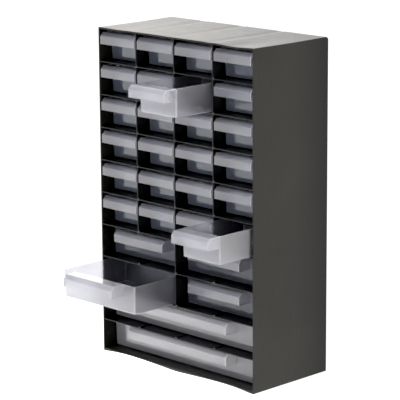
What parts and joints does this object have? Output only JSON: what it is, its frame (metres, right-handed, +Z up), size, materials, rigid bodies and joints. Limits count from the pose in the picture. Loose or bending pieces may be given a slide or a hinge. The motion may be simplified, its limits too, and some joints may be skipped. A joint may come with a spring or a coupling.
{
  "type": "parts bin cabinet",
  "caption": "Upright small-parts cabinet: a dark moulded case split by shelves and dividers, holding rows of translucent drawers of several widths that slide out by hooded pulls.",
  "frame": {"origin": "centre of the footprint, on the surface that the cabinet stands on", "axes": "+X to the right seen from the front, +Y to the back, +Z up; drawers slide out along -Y"},
  "size_m": [0.306, 0.2495, 0.481],
  "materials": {
    "case_plastic": "satin moulded plastic, near-black warm grey",
    "plate_plastic": "thin moulded plates, matte near-black",
    "drawer_plastic": "frosted translucent plastic, slightly cool"
  },
  "bodies": {
    "cabinet": {"case_shell": "case_plastic", "shelf_1": "plate_plastic", "shelf_2": "plate_plastic", "shelf_3": "plate_plastic", "shelf_4": "plate_plastic", "shelf_5": "plate_plastic", "shelf_6": "plate_plastic", "shelf_7": "plate_plastic", "shelf_8": "plate_plastic", "shelf_9": "plate_plastic", "divider_r1_a": "plate_plastic", "divider_r1_b": "plate_plastic", "divider_r1_c": "plate_plastic", "divider_r2_a": "plate_plastic", "divider_r2_b": "plate_plastic", "divider_r2_c": "plate_plastic", "divider_r3_a": "plate_plastic", "divider_r3_b": "plate_plastic", "divider_r3_c": "plate_plastic", "divider_r4_a": "plate_plastic", "divider_r4_b": "plate_plastic", "divider_r4_c": "plate_plastic", "divider_r5_a": "plate_plastic", "divider_r5_b": "plate_plastic", "divider_r5_c": "plate_plastic", "divider_r6_a": "plate_plastic", "divider_r6_b": "plate_plastic", "divider_r6_c": "plate_plastic", "divider_r7": "plate_plastic", "divider_r8": "plate_plastic"},
    "small_drawer_r1c1_body": {"small_drawer_r1c1": "drawer_plastic"},
    "small_drawer_r1c2_body": {"small_drawer_r1c2": "drawer_plastic"},
    "small_drawer_r1c3_body": {"small_drawer_r1c3": "drawer_plastic"},
    "small_drawer_r1c4_body": {"small_drawer_r1c4": "drawer_plastic"},
    "small_drawer_r2c1_body": {"small_drawer_r2c1": "drawer_plastic"},
    "small_drawer_r2c2_body": {"small_drawer_r2c2": "drawer_plastic"},
    "small_drawer_r2c3_body": {"small_drawer_r2c3": "drawer_plastic"},
    "small_drawer_r2c4_body": {"small_drawer_r2c4": "drawer_plastic"},
    "small_drawer_r3c1_body": {"small_drawer_r3c1": "drawer_plastic"},
    "small_drawer_r3c2_body": {"small_drawer_r3c2": "drawer_plastic"},
    "small_drawer_r3c3_body": {"small_drawer_r3c3": "drawer_plastic"},
    "small_drawer_r3c4_body": {"small_drawer_r3c4": "drawer_plastic"},
    "small_drawer_r4c1_body": {"small_drawer_r4c1": "drawer_plastic"},
    "small_drawer_r4c2_body": {"small_drawer_r4c2": "drawer_plastic"},
    "small_drawer_r4c3_body": {"small_drawer_r4c3": "drawer_plastic"},
    "small_drawer_r4c4_body": {"small_drawer_r4c4": "drawer_plastic"},
    "small_drawer_r5c1_body": {"small_drawer_r5c1": "drawer_plastic"},
    "small_drawer_r5c2_body": {"small_drawer_r5c2": "drawer_plastic"},
    "small_drawer_r5c3_body": {"small_drawer_r5c3": "drawer_plastic"},
    "small_drawer_r5c4_body": {"small_drawer_r5c4": "drawer_plastic"},
    "small_drawer_r6c1_body": {"small_drawer_r6c1": "drawer_plastic"},
    "small_drawer_r6c2_body": {"small_drawer_r6c2": "drawer_plastic"},
    "small_drawer_r6c3_body": {"small_drawer_r6c3": "drawer_plastic"},
    "small_drawer_r6c4_body": {"small_drawer_r6c4": "drawer_plastic"},
    "medium_drawer_r7c1_body": {"medium_drawer_r7c1": "drawer_plastic"},
    "medium_drawer_r7c2_body": {"medium_drawer_r7c2": "drawer_plastic"},
    "medium_drawer_r8c1_body": {"medium_drawer_r8c1": "drawer_plastic"},
    "medium_drawer_r8c2_body": {"medium_drawer_r8c2": "drawer_plastic"},
    "large_drawer_r9_body": {"large_drawer_r9": "drawer_plastic"},
    "large_drawer_r10_body": {"large_drawer_r10": "drawer_plastic"}
  },
  "joints": [
    {"name": "small_r1c1_slide", "type": "slide", "parent": "cabinet", "child": "small_drawer_r1c1_body", "axis": [0, -1, 0], "range_m": [0, 0.11]},
    {"name": "small_r1c2_slide", "type": "slide", "parent": "cabinet", "child": "small_drawer_r1c2_body", "axis": [0, -1, 0], "range_m": [0, 0.11]},
    {"name": "small_r1c3_slide", "type": "slide", "parent": "cabinet", "child": "small_drawer_r1c3_body", "axis": [0, -1, 0], "range_m": [0, 0.11]},
    {"name": "small_r1c4_slide", "type": "slide", "parent": "cabinet", "child": "small_drawer_r1c4_body", "axis": [0, -1, 0], "range_m": [0, 0.11]},
    {"name": "small_r2c1_slide", "type": "slide", "parent": "cabinet", "child": "small_drawer_r2c1_body", "axis": [0, -1, 0], "range_m": [0, 0.11]},
    {"name": "small_r2c2_slide", "type": "slide", "parent": "cabinet", "child": "small_drawer_r2c2_body", "axis": [0, -1, 0], "range_m": [0, 0.11]},
    {"name": "small_r2c3_slide", "type": "slide", "parent": "cabinet", "child": "small_drawer_r2c3_body", "axis": [0, -1, 0], "range_m": [-0.088, 0.022]},
    {"name": "small_r2c4_slide", "type": "slide", "parent": "cabinet", "child": "small_drawer_r2c4_body", "axis": [0, -1, 0], "range_m": [0, 0.11]},
    {"name": "small_r3c1_slide", "type": "slide", "parent": "cabinet", "child": "small_drawer_r3c1_body", "axis": [0, -1, 0], "range_m": [0, 0.11]},
    {"name": "small_r3c2_slide", "type": "slide", "parent": "cabinet", "child": "small_drawer_r3c2_body", "axis": [0, -1, 0], "range_m": [0, 0.11]},
    {"name": "small_r3c3_slide", "type": "slide", "parent": "cabinet", "child": "small_drawer_r3c3_body", "axis": [0, -1, 0], "range_m": [0, 0.11]},
    {"name": "small_r3c4_slide", "type": "slide", "parent": "cabinet", "child": "small_drawer_r3c4_body", "axis": [0, -1, 0], "range_m": [0, 0.11]},
    {"name": "small_r4c1_slide", "type": "slide", "parent": "cabinet", "child": "small_drawer_r4c1_body", "axis": [0, -1, 0], "range_m": [0, 0.11]},
    {"name": "small_r4c2_slide", "type": "slide", "parent": "cabinet", "child": "small_drawer_r4c2_body", "axis": [0, -1, 0], "range_m": [0, 0.11]},
    {"name": "small_r4c3_slide", "type": "slide", "parent": "cabinet", "child": "small_drawer_r4c3_body", "axis": [0, -1, 0], "range_m": [0, 0.11]},
    {"name": "small_r4c4_slide", "type": "slide", "parent": "cabinet", "child": "small_drawer_r4c4_body", "axis": [0, -1, 0], "range_m": [0, 0.11]},
    {"name": "small_r5c1_slide", "type": "slide", "parent": "cabinet", "child": "small_drawer_r5c1_body", "axis": [0, -1, 0], "range_m": [0, 0.11]},
    {"name": "small_r5c2_slide", "type": "slide", "parent": "cabinet", "child": "small_drawer_r5c2_body", "axis": [0, -1, 0], "range_m": [0, 0.11]},
    {"name": "small_r5c3_slide", "type": "slide", "parent": "cabinet", "child": "small_drawer_r5c3_body", "axis": [0, -1, 0], "range_m": [0, 0.11]},
    {"name": "small_r5c4_slide", "type": "slide", "parent": "cabinet", "child": "small_drawer_r5c4_body", "axis": [0, -1, 0], "range_m": [0, 0.11]},
    {"name": "small_r6c1_slide", "type": "slide", "parent": "cabinet", "child": "small_drawer_r6c1_body", "axis": [0, -1, 0], "range_m": [0, 0.11]},
    {"name": "small_r6c2_slide", "type": "slide", "parent": "cabinet", "child": "small_drawer_r6c2_body", "axis": [0, -1, 0], "range_m": [0, 0.11]},
    {"name": "small_r6c3_slide", "type": "slide", "parent": "cabinet", "child": "small_drawer_r6c3_body", "axis": [0, -1, 0], "range_m": [0, 0.11]},
    {"name": "small_r6c4_slide", "type": "slide", "parent": "cabinet", "child": "small_drawer_r6c4_body", "axis": [0, -1, 0], "range_m": [-0.083, 0.027]},
    {"name": "medium_r7c1_slide", "type": "slide", "parent": "cabinet", "child": "medium_drawer_r7c1_body", "axis": [0, -1, 0], "range_m": [0, 0.11]},
    {"name": "medium_r7c2_slide", "type": "slide", "parent": "cabinet", "child": "medium_drawer_r7c2_body", "axis": [0, -1, 0], "range_m": [0, 0.11]},
    {"name": "medium_r8c1_slide", "type": "slide", "parent": "cabinet", "child": "medium_drawer_r8c1_body", "axis": [0, -1, 0], "range_m": [-0.0985, 0.0115]},
    {"name": "medium_r8c2_slide", "type": "slide", "parent": "cabinet", "child": "medium_drawer_r8c2_body", "axis": [0, -1, 0], "range_m": [0, 0.11]},
    {"name": "large_r9_slide", "type": "slide", "parent": "cabinet", "child": "large_drawer_r9_body", "axis": [0, -1, 0], "range_m": [0, 0.11]},
    {"name": "large_r10_slide", "type": "slide", "parent": "cabinet", "child": "large_drawer_r10_body", "axis": [0, -1, 0], "range_m": [0, 0.11]}
  ]
}
